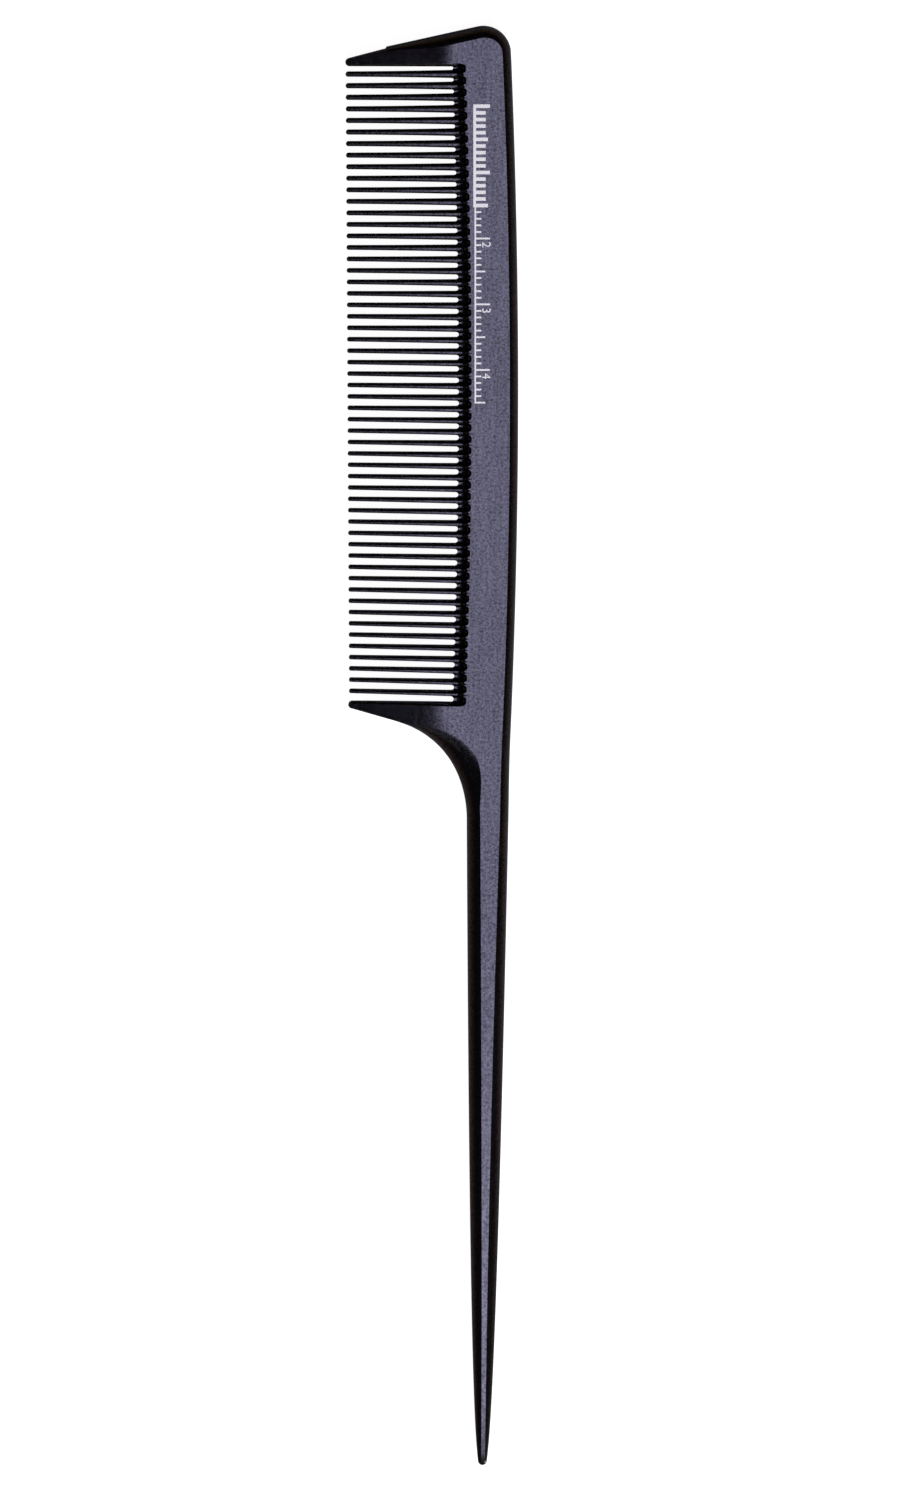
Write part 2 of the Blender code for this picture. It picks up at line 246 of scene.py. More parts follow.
def markCreases(mesh):
    # An edge is sharp where a flat face, a rounded one and a cap meet.
    faceCount, loopCount, edgeCount = len(mesh.polygons), len(mesh.loops), len(mesh.edges)
    kinds = np.empty(faceCount, np.int32)
    mesh.attributes["kind"].data.foreach_get("value", kinds)
    sides = np.empty(faceCount, np.int32)
    mesh.polygons.foreach_get("loop_total", sides)
    edgeOfLoop = np.empty(loopCount, np.int32)
    mesh.loops.foreach_get("edge_index", edgeOfLoop)
    kindOfLoop = np.repeat(kinds, sides)
    lowest = np.full(edgeCount, cap)
    highest = np.full(edgeCount, land)
    np.minimum.at(lowest, edgeOfLoop, kindOfLoop)
    np.maximum.at(highest, edgeOfLoop, kindOfLoop)
    mesh.shade_smooth()
    sharp = mesh.attributes.new("sharp_edge", "BOOLEAN", "EDGE")
    sharp.data.foreach_set("value", lowest != highest)


# ---- teeth ----

def toothY(number, x):
    return middleY + (middleTooth - number) * (teeth["pitch"] + teeth["pitchGain"] * (x - teeth["fanX"]))


def toothHalf(number, x):
    # half the width at mid-height: the tip's, plus a growth by the square of the share of the length
    share = (x - toothTipX[number]) / (rootX(toothY(number, 0.0)) - toothTipX[number])
    return mix(tipWidths[number], rootWidths[number], share**2) / 2


def crestHalf(number, x):
    share = (x - toothTipX[number]) / (rootX(toothY(number, 0.0)) - toothTipX[number])
    return mix(teeth["crestTip"], teeth["crestRoot"], share)


# ---- guards, and the outer outline from the head guard round to the heel guard ----

headGuard = dict(
    innerY=106.2, fan=0.0121, endRadius=0.62, notchX=-7.3, notchDepth=0.25, notchRun=0.16, edgeSlope=0.285,
    flankTip=0.30, flankRoot=0.55, bandTip=0.30, bandNotch=0.75, bandGain=0.08, bandEndX=1.0,
    easeX=-6.0, creaseBefore=1.0, creasePast=2.0, rootPoints=26, tipPoints=15,
)
heelGuard = dict(
    innerY=8.82, fan=-0.0121, endRadius=0.58, lineSlope=-0.268, flankTip=0.28, flankRoot=0.26, bandTip=0.28,
    easeX=-6.0,
)
guardEnd = dict(steps=8, middle=0.35)  # the round end's steps, and where the line along the middle runs
head = dict(
    edgeX=3.9, edgeY=111.7, slope=0.2315, cornerRadius=4.2, band=1.75, crease=0.09,
    edgePoints=9, cornerPoints=17,
)
back = dict(apexY=42.6, radius=1208.0, endY=3.0, band=1.31, crease=0.21)
headGuardTipX = boxOf("head_guard")[0][0]
heelGuardTipX = boxOf("heel_guard")[0][0]
spineLow, spineHigh = boxOf("spine")
tailLow, tailHigh = boxOf("tail")
shoulderLow, shoulderHigh = boxOf("shoulder")
backApexX = spineHigh[0]
shoulderY = (spineLow[1] + shoulderHigh[1]) / 2  # where the spine and the shoulder meet
tailTopY = (shoulderLow[1] + tailHigh[1]) / 2
tailTipY = tailLow[1]


def guardInner(guard, x):
    return guard["innerY"] + guard["fan"] * (x - teeth["fanX"])


def headEdge(x):
    # the head's sloping top edge, which steps down at the notch to the guard's finer edge
    upper = head["edgeY"] + head["slope"] * (x - head["edgeX"])
    notchY = head["edgeY"] + head["slope"] * (headGuard["notchX"] - head["edgeX"])
    lower = notchY - headGuard["notchDepth"] + headGuard["edgeSlope"] * (x - headGuard["notchX"])
    return mix(lower, upper, softStep(-0.5, 0.5, (x - headGuard["notchX"]) / headGuard["notchRun"]))


def backX(y):
    rise = y - back["apexY"]
    return backApexX - back["radius"] + np.sqrt(back["radius"] ** 2 - rise**2)


# The tail: its width and thickness fall by powers of the distance from the tip, to a small round end.
tail = dict(
    axisTopX=9.42, axisTipX=9.76, width=6.45, power=0.395, blunt=1.5, capRadius=0.62, thickPower=0.33,
    landTip=0.58, landGain=2.42, landPower=1.6, shiftTip=0.11, shiftGain=0.26, shiftPower=2.2,
    creaseTop=0.21, creaseTip=0.12, topSlope=0.0089, capRows=9, rows=70, rowPower=1.4,
)
tailLength = tailTopY - tailTipY


def tailSection(reach):
    # At a distance from the tip: the middle line's x, half the width, half the thickness, and the flat
    # strip's edges.
    share = np.clip(reach / tailLength, 0.0, 1.0)
    close = np.sqrt(1.0 - (1.0 - np.clip(reach / tail["capRadius"], 0.0, 1.0)) ** 2)
    middle = mix(tail["axisTipX"], tail["axisTopX"], share)
    body = tail["width"] * ((reach + tail["blunt"]) / (tailLength + tail["blunt"])) ** tail["power"] / 2
    thick = np.minimum(halfThick * share ** tail["thickPower"], body) * close
    strip = (tail["landTip"] + tail["landGain"] * share ** tail["landPower"]) / 2 * close
    stripX = middle + (tail["shiftTip"] + tail["shiftGain"] * share ** tail["shiftPower"]) * close
    return middle, body * close, thick, stripX - strip, stripX + strip


def rightEdge(y):
    # the back's arc, then a Hermite curve into the tail's right side
    middle, half, *_ = tailSection(np.atleast_1d(tailTopY - tailTipY))
    low, high = tailTopY, back["endY"]
    span = high - low
    t = np.clip((y - low) / span, 0.0, 1.0)
    lowX, highX = middle[0] + half[0], backX(high)
    lowSlope, highSlope = tail["topSlope"], -(high - back["apexY"]) / back["radius"]
    curve = (
        (2 * t**3 - 3 * t**2 + 1) * lowX + (t**3 - 2 * t**2 + t) * span * lowSlope
        + (3 * t**2 - 2 * t**3) * highX + (t**3 - t**2) * span * highSlope
    )
    return np.where(y > high, backX(y), curve)


def backLean(y):
    # how far the back's inward normal turns away from -X
    turn = np.arcsin((np.maximum(y, back["endY"]) - back["apexY"]) / back["radius"])
    return turn * softStep(tailTopY, back["endY"], y)


# The hollow curve from the heel guard into the tail: a Bezier arc with a long first handle.
heel = dict(
    startX=-5.0, startY=5.92, startSlope=-0.30, startHandle=11.5, endHandle=2.0,
    # the rounding along the edge, by the distance travelled from the guard's tip
    widest=3.9, growFrom=7.5, growTo=18.0, shrinkFrom=18.5, shrinkTo=26.5, creaseFrom=17.0, creaseTo=24.0,
    linePoints=46, curvePoints=34, leadPoints=8,
)


def heelCurve(t):
    middle, half, *_ = tailSection(np.atleast_1d(tailTopY - tailTipY))
    start = np.array([heel["startX"], heel["startY"]])
    end = np.array([middle[0] - half[0], tailTopY])
    first = start + unit(np.array([1.0, heel["startSlope"]])) * heel["startHandle"]
    last = end + (0.0, heel["endHandle"])
    t = np.asarray(t)[..., None]
    return (1 - t) ** 3 * start + 3 * (1 - t) ** 2 * t * first + 3 * (1 - t) * t**2 * last + t**3 * end


denseT = np.linspace(0.0, 1.0, 600)  # fine enough to look x up in
denseHeel = heelCurve(denseT)


def heelLower(x):
    # the heel guard's lower edge: a straight line, then the hollow curve
    line = heel["startY"] + heelGuard["lineSlope"] * (x - heel["startX"])
    return np.where(x < heel["startX"], line, np.interp(x, denseHeel[:, 0], denseHeel[:, 1]))


# ---- slot ends: where the gaps between the teeth run out into the spine ----

# Seen from above, a slot ends in a half circle at mid-height, and in a longer U at the face. Between them runs a
# fan of rays. Straight ahead the surface is a hollow that curls up, and towards the sides it turns into the
# teeth's bulging flanks by the weight sin(phi)^4, where phi is the ray's angle.
slots = dict(
    reach=1.95, power=3.6, floor=0.17, hollow=3.2, farGap=0.4, sideGap=0.45, interfaceGap=0.05,
    headFrameX=2.5, guessX=3.5, rounds=4,
)
halfTurn = np.array([90.0, 88, 84, 78, 72, 66, 60, 55, 50, 45, 36, 26, 16, 7])
phi = np.radians(np.concatenate([halfTurn, [0.0], -halfTurn[::-1]]))
cornerRay = 9  # the ray at 45 degrees, which runs into the corner of a slot's frame
# along a crest's middle line, from the joint to the far line
sideShares = np.array([0.0, 0.02, 0.16, 0.31, 0.42, 0.50, 0.57, 0.64, 0.70, 0.76, 1.0])
memberCount = toothCount + 2  # the head guard, the teeth and the heel guard
slotCount = memberCount - 1
inTeeth = slice(1, memberCount - 1)
toothNumbers = np.arange(toothCount)


def farX(y):
    return rootX(y) + slots["reach"] + slots["farGap"]


def memberLines(x):
    # For each member at its own x: lower flank, lower crest edge, middle line, upper crest edge, upper flank.
    numbers = toothNumbers
    middle = toothY(numbers, x[inTeeth])
    half = toothHalf(numbers, x[inTeeth])
    crest = crestHalf(numbers, x[inTeeth])
    lines = np.empty((5, memberCount))
    lines[:, inTeeth] = middle - half, middle - crest, middle, middle + crest, middle + half
    top = guardInner(headGuard, x[0])
    lines[:, 0] = top, top + headGuard["flankRoot"], headFrameY, np.nan, np.nan
    bottom = guardInner(heelGuard, x[-1])
    lines[:, -1] = np.nan, np.nan, shoulderY, bottom - heelGuard["flankRoot"], bottom
    return lines


headFrameY = guardInner(headGuard, slots["headFrameX"]) + headGuard["flankRoot"] + slots["sideGap"]


def besideSlots(values):
    # a value for each slot, handed to the member above it and to the member below it
    return np.concatenate([values, values[-1:]]), np.concatenate([values[:1], values])


startX = np.full(slotCount, slots["guessX"])
for step in range(slots["rounds"]):  # the half gap and the start of the half circle depend on each other
    aboveX, belowX = besideSlots(startX)
    upperFlank = memberLines(aboveX)[0, :-1]
    lowerFlank = memberLines(belowX)[4, 1:]
    halfGap = (upperFlank - lowerFlank) / 2
    startX = rootX((upperFlank + lowerFlank) / 2) - halfGap
aboveX, belowX = besideSlots(startX)
jointX = np.minimum(belowX, aboveX) - slots["interfaceGap"]
jointLines = memberLines(jointX)


def slotSheets():
    # Grids over (slot, ray, step): the recesses, and the flat land between their rims and the frame lines.
    middle = (upperFlank + lowerFlank) / 2
    upperCrest, lowerCrest = memberLines(aboveX)[1, :-1], memberLines(belowX)[3, 1:]
    rimMiddle, rimHalf = (upperCrest + lowerCrest) / 2, (upperCrest - lowerCrest) / 2
    cos, sin = np.cos(phi), np.sin(phi)
    innerX = startX[:, None] + halfGap[:, None] * cos
    innerY = middle[:, None] + halfGap[:, None] * sin
    bulge = 2.0 / slots["power"]
    rimX = startX[:, None] + (halfGap[:, None] + slots["reach"]) * np.abs(cos) ** bulge
    rimY = rimMiddle[:, None] + rimHalf[:, None] * np.sign(sin) * np.abs(sin) ** bulge

    def withJoints(values, first, last):
        return np.concatenate([first[:, None], values, last[:, None]], axis=1)

    innerX = withJoints(innerX, jointX[:-1], jointX[1:])
    innerY = withJoints(innerY, jointLines[0, :-1], jointLines[4, 1:])
    rimX = withJoints(rimX, jointX[:-1], jointX[1:])
    rimY = withJoints(rimY, jointLines[1, :-1], jointLines[3, 1:])
    weight = np.concatenate([[1.0], sin**4, [1.0]])

    # the scoop's floor starts above the through-hole's wall and curls up ahead: 1 - (1 - s^p)^(1/p)
    hollow = 1.0 - (1.0 - flankInset ** slots["hollow"]) ** (1.0 / slots["hollow"])
    scoop = slots["floor"] + (1.0 - slots["floor"]) * hollow
    scoop[0] = 0.0
    x = innerX[..., None] + (rimX - innerX)[..., None] * flankInset
    y = innerY[..., None] + (rimY - innerY)[..., None] * flankInset
    top = faceHeight(rimX, rimY)
    recess = stack(x, y, mix(scoop * top[..., None], flankRise(top), weight[:, None]))

    # the frame of each slot's land: along the upper crest's middle line, down the far line, and back along
    # the lower one
    farUpper = farX(jointLines[2, :-1])
    farLower = farX(jointLines[2, 1:])
    sideUpperX = jointX[:-1, None] + (farUpper - jointX[:-1])[:, None] * sideShares
    sideLowerX = jointX[1:, None] + (farLower - jointX[1:])[:, None] * sideShares
    numbers = np.arange(slotCount)
    sideUpperY = toothY(np.clip(numbers - 1, 0, toothCount - 1)[:, None], sideUpperX)
    sideLowerY = toothY(np.clip(numbers, 0, toothCount - 1)[:, None], sideLowerX)
    sideUpperY[0] = headFrameY
    sideLowerY[-1] = shoulderY
    farShares = (1.0 - np.tan(phi[cornerRay:-cornerRay])) / 2
    farY = mix(sideUpperY[:, -1:], sideLowerY[:, -1:], farShares)
    frameX = np.concatenate([sideUpperX[:, :-1], mix(farUpper[:, None], farLower[:, None], farShares),
                             sideLowerX[:, -2::-1]], axis=1)
    frameY = np.concatenate([sideUpperY[:, :-1], farY, sideLowerY[:, -2::-1]], axis=1)
    frameLine = onFace(stack(frameX, frameY))
    return recess, frameLine


recess, frameLine = slotSheets()
farFirst, farLast = cornerRay + 1, len(phi) - cornerRay  # a slot's first and last columns on the far line
farLine = np.concatenate([frameLine[:, farFirst:farLast].reshape(-1, 3), frameLine[-1:, farLast]])
print("slot ends:", slotCount, "root line at", round(float(rootX(back["apexY"])), 3), "mm")


# ---- outline of the head, the back and the shoulder ----

def cornerArc():
    # the circle that touches the top edge and the back's arc from inside
    turn = np.arctan(head["slope"])
    along = np.array([np.cos(turn), np.sin(turn)])
    inward = np.array([along[1], -along[0]])
    radius = head["cornerRadius"]
    start = np.array([head["edgeX"], head["edgeY"]]) + inward * radius
    backCentre = np.array([backApexX - back["radius"], back["apexY"]])
    offset = start - backCentre
    half = offset @ along
    centre = start + along * (-half + np.sqrt(half**2 - offset @ offset + (back["radius"] - radius) ** 2))
    first = np.arctan2(*(centre - backCentre)[::-1])
    angles = np.linspace(np.pi / 2 + turn, first, head["cornerPoints"])
    spokes = np.stack([np.cos(angles), np.sin(angles)], axis=-1)
    return centre + spokes * radius, -spokes


cornerPath, cornerInward = cornerArc()
edgeX = np.linspace(jointX[0], cornerPath[0, 0], head["edgePoints"])[:-1]
edgePath = np.stack([edgeX, headEdge(edgeX)], axis=-1)
backY = farLine[:, 1]
shoulderRows = 26
shoulderRightY = np.linspace(shoulderY, tailTopY, shoulderRows)
backPath = np.stack([rightEdge(backY), backY], axis=-1)
backInward = np.stack([-np.cos(backLean(backY)), -np.sin(backLean(backY))], axis=-1)
headPath = np.concatenate([edgePath, cornerPath[:-1], backPath[:1]])
headInward = np.concatenate([np.tile(cornerInward[0], (len(edgePath), 1)), cornerInward[:-1], backInward[:1]])
cornerShare = np.concatenate([np.zeros(len(edgePath)), np.linspace(0.0, 1.0, len(cornerPath))])
headWidth = mix(head["band"], back["band"], softStep(0.0, 1.0, cornerShare))
headCrease = mix(head["crease"], back["crease"], cornerShare)
headBand = edgeBand(headPath, headInward, headWidth, headCrease)
backBand = edgeBand(backPath, backInward, back["band"], back["crease"])


def makeSpine():
    shell = Shell()
    for number in range(slotCount):
        shell.halves(recess[number], rounded)
        shell.halves(np.stack([recess[number][:, -1], frameLine[number]]), land)
    shell.halves(np.stack([farLine, backBand[:, -1]]), land)
    shell.halves(backBand, rounded)
    shell.halves(headBand, rounded)
    repeated = np.round(np.linspace(0, farFirst, len(headBand))).astype(int)
    shell.halves(np.stack([frameLine[0][repeated], headBand[:, -1]]), land)
    for number in range(1, memberCount - 1):
        stub = [recess[number - 1][-1], frameLine[number - 1][-1:], recess[number][0][::-1]]
        shell.curtain(np.concatenate(stub))
    shell.curtain(np.concatenate([recess[0][0], frameLine[0][:1], headBand[0][::-1]]))
    shell.curtain(np.concatenate([recess[-1][-1], frameLine[-1][-1:]]))
    shell.curtain(np.concatenate([frameLine[-1][farLast:][::-1], backBand[-1][::-1]]))
    return shell.make("spineBar")


def makeTooth(number):
    # Both flanks carried from the spine to the tip and round its half circle, with the crest between them.
    baseX = jointX[number + 1]
    radius = tipWidths[number] / 2
    endX = toothTipX[number] + radius
    x = mix(baseX, endX, np.linspace(0.0, 1.0, teeth["sideSteps"]) ** teeth["sidePower"])
    middle, half, crest = toothY(number, x), toothHalf(number, x), crestHalf(number, x)
    turn = np.linspace(0.0, np.pi / 2, teeth["tipSteps"] + 1)[1:]
    shell = Shell()
    sides = []
    for side in (1.0, -1.0):
        sidePath = np.stack([x, middle + side * half], axis=-1)
        spokes = np.stack([-np.sin(turn), side * np.cos(turn)], axis=-1)
        path = np.concatenate([sidePath, np.array([endX, middle[-1]]) + spokes * half[-1]])
        inward = np.concatenate([np.tile((0.0, -side), (len(x), 1)), -spokes])
        width = np.concatenate([half - crest, np.full(len(turn), half[-1] - crest[-1])])
        sides.append(flankBand(path, inward, width))
        shell.halves(sides[-1], rounded)
    shell.halves(np.stack([sides[0][:, -1], sides[1][:, -1]]), land)
    shell.curtain(np.concatenate([sides[0][0], sides[1][0][::-1]]))
    return shell.make(f"tooth{number + 1:02d}")


def makeGuard(name, guard, tipX, jointIndex, corner, outerPath, outerInward, outerWidth, outerCrease, side):
    # The slot side and the outer side run side by side to the tip, and meet at the middle of its round end.
    radius = guard["endRadius"]
    endX = tipX + radius
    endY = guardInner(guard, endX) + side * radius
    count = len(outerPath)
    x = np.linspace(jointX[jointIndex], endX, count)
    inner = np.stack([x, guardInner(guard, x)], axis=-1)
    away = np.array([0.0, -side])
    outerSpoke = -outerInward[-1]
    outerAngle = np.arctan2(outerSpoke[1] * side, outerSpoke[0])  # as if the outer side were above
    apexAngle = (outerAngle + 1.5 * np.pi) / 2
    endSteps = guardEnd["steps"]
    steps = np.linspace(0.0, 1.0, endSteps + 1)[1:]
    innerAngles = mix(1.5 * np.pi, apexAngle, steps)
    outerAngles = mix(outerAngle, apexAngle, steps)
    centre = np.array([endX, endY])
    share = (x - endX) / (x[0] - endX)
    shell = Shell()
    innerSpokes = np.stack([np.cos(innerAngles), side * np.sin(innerAngles)], axis=-1)
    outerSpokes = np.stack([np.cos(outerAngles), side * np.sin(outerAngles)], axis=-1)
    innerPath = np.concatenate([inner, centre + innerSpokes * radius])
    innerInward = np.concatenate([np.tile(-away, (count, 1)), -innerSpokes])
    flank = mix(guard["flankTip"], guard["flankRoot"], share)
    innerWidth = np.concatenate([flank, np.full(endSteps, guard["flankTip"])])
    outerFull = np.concatenate([outerPath, centre + outerSpokes * radius])
    outerTurn = np.concatenate([outerInward, -outerSpokes])
    outerWide = np.concatenate([outerWidth, np.full(endSteps, guard["bandTip"])])
    outerSharp = np.concatenate([outerCrease, np.zeros(endSteps)])
    innerBand = flankBand(innerPath, innerInward, innerWidth)
    outerBand = edgeBand(outerFull, outerTurn, outerWide, outerSharp)
    middleLine = mix(innerBand[:, -1], outerBand[:, -1], guardEnd["middle"])
    middleLine[0] = corner
    middleLine = onFace(middleLine)
    shell.halves(innerBand, rounded)
    shell.halves(outerBand, rounded)
    shell.halves(np.stack([innerBand[:, -1], middleLine, outerBand[:, -1]]), land)
    shell.curtain(np.concatenate([innerBand[0], middleLine[:1], outerBand[0][::-1]]))
    return shell.make(name)


def headGuardOuter():
    # from the spine along the head's top edge to the round end, with more points round the notch
    endX = headGuardTipX + headGuard["endRadius"]
    turn = np.arctan(headGuard["edgeSlope"])
    centreY = guardInner(headGuard, endX) + headGuard["endRadius"]
    lastX = endX - headGuard["endRadius"] * np.sin(turn)
    notch = headGuard["notchX"] + headGuard["notchRun"] * np.array([0.5, 0.25, 0.0, -0.25, -0.5])
    x = np.concatenate([
        np.linspace(jointX[0], notch[0], headGuard["rootPoints"])[:-1], notch,
        np.linspace(notch[-1], lastX, headGuard["tipPoints"])[1:],
    ])
    y = headEdge(x)
    slopeTurn = np.where(x > headGuard["notchX"], np.arctan(head["slope"]), turn)
    inward = np.stack([np.sin(slopeTurn), -np.cos(slopeTurn)], axis=-1)
    # the straight edge is led onto the round end over its last few millimetres
    lift = centreY + headGuard["endRadius"] * np.cos(turn) - y[-1]
    y += lift * softStep(headGuard["easeX"], lastX, x)
    right = mix(headGuard["bandNotch"], head["band"], softStep(headGuard["notchX"], headGuard["bandEndX"], x))
    finest = headGuard["bandTip"]
    left = mix(finest, finest + headGuard["bandGain"], softStep(lastX, headGuard["notchX"], x))
    width = np.where(x > headGuard["notchX"], right, left)
    creaseStart = headGuard["notchX"] - headGuard["creaseBefore"]
    crease = head["crease"] * softStep(creaseStart, headGuard["notchX"] + headGuard["creasePast"], x)
    return np.stack([x, y], axis=-1), inward, width, crease


heelJointT = np.interp(jointX[-1], denseHeel[:, 0], denseT)
heelEndX = heelGuardTipX + heelGuard["endRadius"]
heelTurn = np.arctan(heelGuard["lineSlope"])
heelFirstX = heelEndX + heelGuard["endRadius"] * np.sin(heelTurn)
heelX = np.linspace(heelFirstX, jointX[-1], heel["linePoints"])
heelY = heelLower(heelX)
heelCentreY = guardInner(heelGuard, heelEndX) - heelGuard["endRadius"]
heelDrop = heelCentreY - heelGuard["endRadius"] * np.cos(heelTurn) - heelY[0]
heelY += heelDrop * softStep(heelGuard["easeX"], heelFirstX, heelX)
shoulderLeft = heelCurve(np.linspace(heelJointT, 1.0, heel["curvePoints"]))
heelPath = np.concatenate([np.stack([heelX, heelY], axis=-1), shoulderLeft[1:]])
heelInward = leftNormals(heelPath)
heelInward[0] = -np.sin(heelTurn), np.cos(heelTurn)
heelInward[-1] = 1.0, 0.0
tailTopLeft = tailSection(np.atleast_1d(tailLength))
tailBandLeft = float(tailTopLeft[3][0] - (tailTopLeft[0][0] - tailTopLeft[1][0]))
tailBandRight = float((tailTopLeft[0][0] + tailTopLeft[1][0]) - tailTopLeft[4][0])
heelTravel = np.concatenate([[0.0], np.cumsum(np.linalg.norm(np.diff(heelPath, axis=0), axis=1))])
heelWidth = (
    mix(heelGuard["bandTip"], heel["widest"], softStep(heel["growFrom"], heel["growTo"], heelTravel))
    + (tailBandLeft - heel["widest"]) * softStep(heel["shrinkFrom"], heel["shrinkTo"], heelTravel)
)
heelCrease = back["crease"] * softStep(heel["creaseFrom"], heel["creaseTo"], heelTravel)
heelSplit = len(heelX) - 1


def makeShoulder():
    # The land is ruled between the hollow curve's inner edge and the back's, row by row.
    below = slice(heelSplit, None)
    leftBand = edgeBand(heelPath[below], heelInward[below], heelWidth[below], heelCrease[below])
    rightPath = np.stack([rightEdge(shoulderRightY), shoulderRightY], axis=-1)
    rightInward = np.stack([-np.cos(backLean(shoulderRightY)), -np.sin(backLean(shoulderRightY))], axis=-1)
    rightWidth = mix(tailBandRight, back["band"], softStep(tailTopY, back["endY"], shoulderRightY))
    rightBand = edgeBand(rightPath, rightInward, rightWidth, back["crease"])
    corner = frameLine[-1][-1]
    leadShares = np.linspace(0.0, 1.0, heel["leadPoints"])[:, None]
    lead = onFace(mix(corner, leftBand[0, -1], leadShares)[:-1])
    left = np.concatenate([lead, leftBand[:, -1]])
    right = rightBand[np.round(np.linspace(0, shoulderRows - 1, len(left))).astype(int), -1]
    shell = Shell()
    shell.halves(leftBand, rounded)
    shell.halves(rightBand, rounded)
    shell.halves(np.stack([left, right]), land)
    shell.curtain(np.concatenate([lead, leftBand[0][::-1]]))
    shell.curtain(np.concatenate([corner[None], rightBand[0][::-1]]))
    shell.curtain(np.concatenate([leftBand[-1], rightBand[-1][::-1]]))
    return shell.make("shoulderWeb")


def makeTail():
    # Cross-sections from the shoulder to the tip: two rounded sides with a flat strip between them.
    capReach = tail["capRadius"] * (1.0 - np.cos(np.linspace(0.0, np.pi / 2, tail["capRows"])))
    bodyReach = mix(tail["capRadius"], tailLength, np.linspace(0.0, 1.0, tail["rows"])[1:] ** tail["rowPower"])
    reach = np.concatenate([capReach, bodyReach])[::-1]
    middle, half, thick, stripLeft, stripRight = tailSection(reach)
    y = tailTipY + reach
    crease = mix(tail["creaseTip"], tail["creaseTop"], reach / tailLength)
    tiny = 1e-9  # keeps the very tip's width from being nothing
    shell = Shell()
    sides = []
    for side, strip in ((-1.0, stripLeft), (1.0, stripRight)):
        path = np.stack([middle + side * half, y], axis=-1)
        inward = np.tile((-side, 0.0), (len(y), 1))
        width = np.maximum(side * (path[:, 0] - strip), tiny)
        sides.append(edgeBand(path, inward, width, crease, np.maximum(thick, tiny)))
        shell.halves(sides[-1], rounded)
    shell.halves(np.stack([sides[0][:, -1], sides[1][:, -1]]), land)
    shell.curtain(np.concatenate([sides[0][0], sides[1][0][::-1]]))
    return shell.make("tailHandle")


# ---- printed scale ----

# A plain graduated scale in white ink, which starts near the head: heavy bars at first, then fine ticks, one
# for each millimetre and longer ones for fives and tens, on a base line. The tens among the fine ticks have
# figures. The ink reaches a little into the face, and bars and base line meet at the lip without overlapping.
scale = dict(
    topX=6.22, topY=100.4, endX=6.72, endY=55.2, ink=0.02, sunk=0.01, lip=0.2, heavyCount=16,
    heavyBar=0.54, heavyBase=0.42, heavyTall=(1.65, 2.0, 2.3),
    fineTick=0.26, fineBase=0.24, fineTall=(1.0, 1.6, 2.3),
    figure=1.30, figureShare=0.7, figureAside=0.95, figureAbove=1.14, firstFigure=2,
)


def plates(corners, thickness):
    # Flat four-sided plates given by their corners (plate, 4, 2), raised from the face: points and quads.
    low = stack(corners[..., 0], corners[..., 1], halfThick - scale["sunk"])
    high = low + (0.0, 0.0, scale["sunk"] + thickness)
    points = np.concatenate([low, high], axis=1)
    block = np.array([[3, 2, 1, 0], [4, 5, 6, 7], [0, 1, 5, 4], [1, 2, 6, 5], [2, 3, 7, 6], [3, 0, 4, 7]])
    quads = block[None] + 8 * np.arange(len(corners))[:, None, None]
    return points.reshape(-1, 3), quads.reshape(-1, 4)


def makeScale():
    start = np.array([scale["topX"], scale["topY"]])
    end = np.array([scale["endX"], scale["endY"]])
    along = unit(end - start)
    across = np.array([-along[1], along[0]])  # towards the back
    length = np.linalg.norm(end - start)
    marks = np.arange(0, int(length) + 1)
    rank = np.where(marks % 10 == 0, 2, np.where(marks % 5 == 0, 1, 0))
    heavy = marks < scale["heavyCount"]
    tall = np.where(heavy, np.take(scale["heavyTall"], rank), np.take(scale["fineTall"], rank))
    foot = start + along * marks[:, None]
    side = along * np.where(heavy, scale["heavyBar"], scale["fineTick"])[:, None] / 2
    rise = across * tall[:, None]
    lip = across * scale["lip"]
    bars = [foot + lip - side, foot + lip + side, foot + side + rise, foot - side + rise]
    bend = foot[scale["heavyCount"] - 1] + side[0]
    bases = []
    for first, last, depth in (
        (start - side[0], bend, scale["heavyBase"]),
        (bend, foot[-1] + side[-1], scale["fineBase"]),
    ):
        drop = across * depth
        bases.append([first + lip - drop, last + lip - drop, last + lip, first + lip])
    points, quads = plates(np.concatenate([np.stack(bars, axis=1), np.array(bases)]), scale["ink"])
    inkMesh = bpy.data.meshes.new("scaleLines")
    inkMesh.from_pydata((points + (0.0, 0.0, midZ)) * mm, [], quads)
    joined = bmesh.new()
    joined.from_mesh(inkMesh)
    for number in range(scale["firstFigure"], int(length // 10) + 1):
        spot = start + along * (10.0 * number + scale["figureAside"]) + across * scale["figureAbove"]
        joined.from_mesh(figureMesh(str(number), spot, along, across))
    bmesh.ops.recalc_face_normals(joined, faces=joined.faces)
    joined.to_mesh(inkMesh)
    joined.free()
    piece = bpy.data.objects.new("printedScale", inkMesh)
    bpy.context.scene.collection.objects.link(piece)
    return piece


